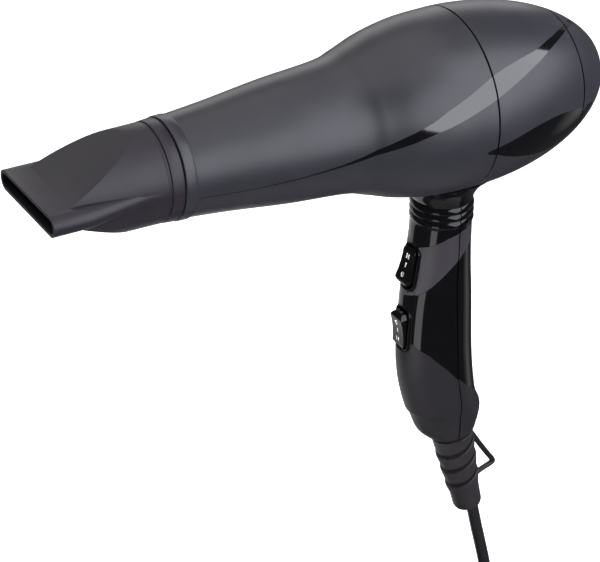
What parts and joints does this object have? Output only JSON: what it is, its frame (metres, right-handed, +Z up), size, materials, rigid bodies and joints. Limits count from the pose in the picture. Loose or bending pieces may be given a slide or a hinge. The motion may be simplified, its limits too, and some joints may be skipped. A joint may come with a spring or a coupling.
{
  "type": "hair dryer",
  "caption": "Hand-held hair dryer with a bulbous body, push-on concentrator nozzle, pull-off rear filter cap, rocker switches in the grip and a mains lead folded in a hank.",
  "frame": {"origin": "middle of the hand grip, in the plane where the front and rear housings meet", "axes": "+X towards the rear filter cap (the air leaves towards -X), +Z up along the grip, +Y to the dryer's own left when its rear is to the back, the symmetry plane is Y = 0"},
  "size_m": [0.2899, 0.0874, 0.4877],
  "materials": {
    "matte_shell": "fine matte",
    "nozzle_plastic": "fine matte",
    "gloss_black": "high gloss",
    "switch_black": "satin",
    "grille_black": "matte, heat resistant",
    "steel_mesh": "woven wire",
    "fan_plastic": "moulded",
    "duct_plastic": "moulded, heat resistant",
    "shaft_steel": "ground",
    "can_steel": "zinc plated",
    "copper_winding": "lacquered wire",
    "magnet": "sintered",
    "bearing_bronze": "sintered",
    "carbon": "matte",
    "damper_rubber": "matte",
    "mica": "matte sheet",
    "heater_wire": "drawn",
    "white_ceramic": "matte",
    "fuse_brass": "plain",
    "terminal_brass": "plain",
    "capacitor_yellow": "cast",
    "lead_red": "insulation",
    "clamp_plastic": "moulded",
    "relief_rubber": "fine matte",
    "cord_sheath": "smooth satin",
    "screw_steel": "zinc plated",
    "tie_fabric": "hook and loop",
    "plug_plastic": "moulded",
    "pin_nickel": "nickel plated"
  },
  "bodies": {
    "dryer": {"outlet_grille": "grille_black", "front_housing": "matte_shell", "rear_housing": "matte_shell", "motor_can": "can_steel", "motor_end_cap": "can_steel", "field_magnets": "magnet", "motor_bearings": "bearing_bronze", "carbon_brushes": "carbon", "motor_damper": "damper_rubber", "fan_duct": "duct_plastic", "mica_sleeve": "mica", "mica_cards": "mica", "heater_coil": "heater_wire", "thermostat": "white_ceramic", "thermal_fuse": "fuse_brass", "handle_front": "gloss_black", "handle_back": "gloss_black", "upper_switch_body": "switch_black", "lower_switch_body": "switch_black", "switch_terminals": "terminal_brass", "suppression_capacitor": "capacitor_yellow", "inner_leads": "lead_red", "cord_clamp": "clamp_plastic", "strain_relief": "relief_rubber", "cord_entry": "cord_sheath", "housing_screws": "screw_steel", "duct_screws": "screw_steel", "motor_screws": "screw_steel", "handle_screws": "screw_steel", "neck_screws": "screw_steel", "clamp_screws": "screw_steel", "cord_tube": "cord_sheath", "cord_hank": "cord_sheath", "cord_tail": "cord_sheath", "hank_tie": "tie_fabric", "plug_body": "plug_plastic", "plug_pins": "pin_nickel"},
    "nozzle": {"nozzle": "nozzle_plastic"},
    "rear_cap": {"rear_filter_cap": "matte_shell", "filter_mesh": "steel_mesh"},
    "rotor": {"fan": "fan_plastic", "motor_shaft": "shaft_steel", "armature": "copper_winding"},
    "upper_rocker": {"upper_rocker": "switch_black"},
    "lower_rocker": {"lower_rocker": "switch_black"}
  },
  "joints": [
    {"name": "nozzle_turn", "type": "hinge", "parent": "dryer", "child": "nozzle", "pos_m": [-0.149, 0, 0.12], "axis": [1, 0, 0], "continuous": true},
    {"name": "cap_pull", "type": "slide", "parent": "dryer", "child": "rear_cap", "axis": [1, 0, 0], "range_m": [0, 0.012]},
    {"name": "rotor_spin", "type": "hinge", "parent": "dryer", "child": "rotor", "pos_m": [-0.149, 0, 0.12], "axis": [1, 0, 0], "continuous": true},
    {"name": "upper_rocker_tilt", "type": "hinge", "parent": "dryer", "child": "upper_rocker", "pos_m": [-0.01569, 0, 0.03329], "axis": [0, 1, 0], "range_deg": [-18, 0]},
    {"name": "lower_rocker_tilt", "type": "hinge", "parent": "dryer", "child": "lower_rocker", "pos_m": [-0.0191, 0, -0.00046], "axis": [0, 1, 0], "range_deg": [0, 18]}
  ]
}
